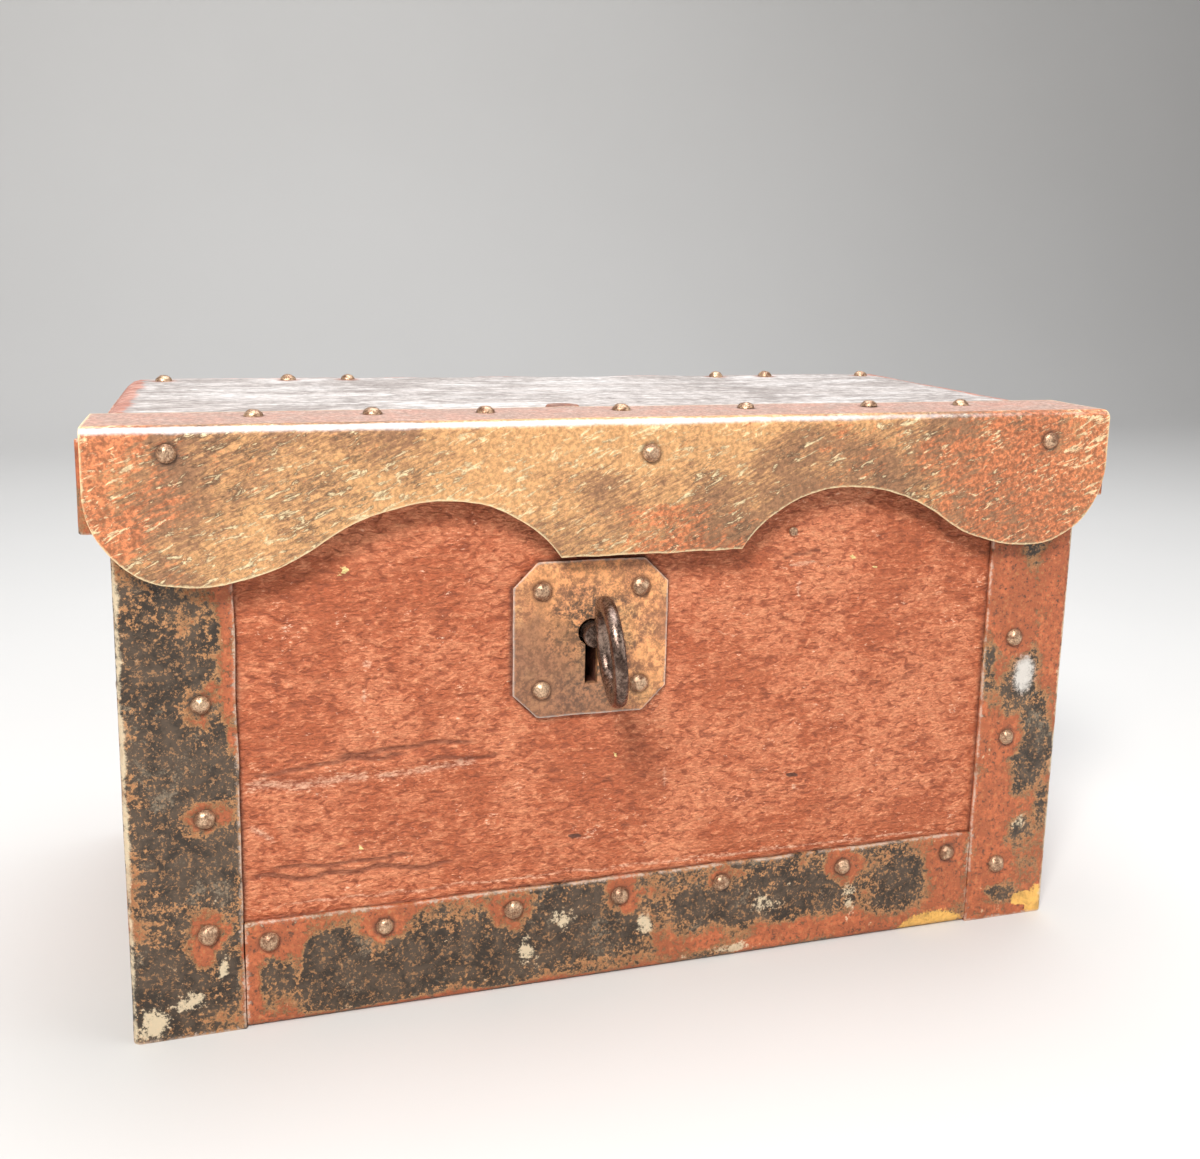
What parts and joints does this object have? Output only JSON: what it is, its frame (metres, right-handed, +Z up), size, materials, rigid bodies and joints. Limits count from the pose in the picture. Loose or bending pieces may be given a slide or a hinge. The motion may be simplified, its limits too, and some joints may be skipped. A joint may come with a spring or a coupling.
{
  "type": "iron-bound money chest",
  "caption": "Small boarded chest with sheet-iron corners and base bands, a hinged lid with a scalloped iron apron, a square lock plate and a ring-bow key.",
  "frame": {"origin": "centre of the chest's underside, which lies in the plane z = 0; the walls, over their irons, are centred on the origin and the lid overhangs them at the front", "axes": "+Z up, -Y out of the front face with the lock, +X to the right as seen from the front"},
  "size_m": [0.3178, 0.1877, 0.1795],
  "materials": {
    "painted_wood": "brick-red oil paint on boards, rubbed and flecked, matt",
    "bare_wood": "bare softwood, dull and stained",
    "lid_wood": "grey weathered board with reddish worn ends",
    "corner_iron": "sheet iron, brown-black with worn red paint",
    "base_iron": "sheet iron, red paint worn to dark metal along the edges",
    "apron_iron": "sheet iron, golden brown with red patches and bright edges",
    "lock_plate_iron": "sheet iron, orange-brown with a dark patina",
    "hinge_iron": "forged iron, dark with traces of red paint",
    "nail_steel": "forged domed heads, rubbed brown steel",
    "lock_iron": "dark filed iron",
    "key_steel": "dark polished steel"
  },
  "bodies": {
    "chest": {"front_board": "painted_wood", "back_board": "painted_wood", "left_board": "painted_wood", "right_board": "painted_wood", "bottom_board": "bare_wood", "corner_iron_front_left": "corner_iron", "corner_iron_front_right": "corner_iron", "corner_iron_back_left": "corner_iron", "corner_iron_back_right": "corner_iron", "base_iron_front": "base_iron", "base_iron_back": "base_iron", "base_iron_left": "base_iron", "base_iron_right": "base_iron", "front_nails": "nail_steel", "back_nails": "nail_steel", "left_nails": "nail_steel", "right_nails": "nail_steel", "panel_nail": "nail_steel", "lock_plate": "lock_plate_iron", "lock_plate_nails": "nail_steel", "lock_case": "lock_iron", "lock_case_nails": "nail_steel", "bolt_guides": "lock_iron", "bolt_spring": "lock_iron", "ward_ring": "lock_iron", "hinge_leaf_lower_left": "hinge_iron", "hinge_leaf_lower_right": "hinge_iron", "hinge_pin_left": "lock_iron", "hinge_pin_right": "lock_iron", "hinge_lower_nails": "nail_steel", "drill_pin": "lock_iron"},
    "lid": {"lid_board": "lid_wood", "lid_apron": "apron_iron", "lid_side_iron_left": "apron_iron", "lid_side_iron_right": "apron_iron", "apron_face_nails": "nail_steel", "apron_top_nails": "nail_steel", "lid_side_nails": "nail_steel", "lid_corner_nails": "nail_steel", "hinge_leaf_upper_left": "hinge_iron", "hinge_leaf_upper_right": "hinge_iron", "hinge_upper_nails": "nail_steel", "staple_plate": "lock_iron", "staple_loop": "lock_iron", "staple_rivet": "nail_steel"},
    "key": {"key_stem": "key_steel", "key_bit": "key_steel", "key_bow": "key_steel"},
    "bolt": {"lock_bolt": "lock_iron", "bolt_tongue": "lock_iron"}
  },
  "joints": [
    {"name": "lid_hinge", "type": "hinge", "parent": "chest", "child": "lid", "pos_m": [0, 0.0754, 0.16315], "axis": [-1, 0, 0], "range_deg": [0, 180]},
    {"name": "key_turn", "type": "hinge", "parent": "chest", "child": "key", "pos_m": [-0.017, -0.0527, 0.113], "axis": [0, 1, 0], "range_deg": [0, 360]},
    {"name": "bolt_slide", "type": "slide", "parent": "chest", "child": "bolt", "axis": [1, 0, 0], "range_m": [0, 0.0096]}
  ],
  "couplings": [
    {"joint": "key_turn", "follows": "bolt_slide", "rad_per_m": 654.4}
  ]
}
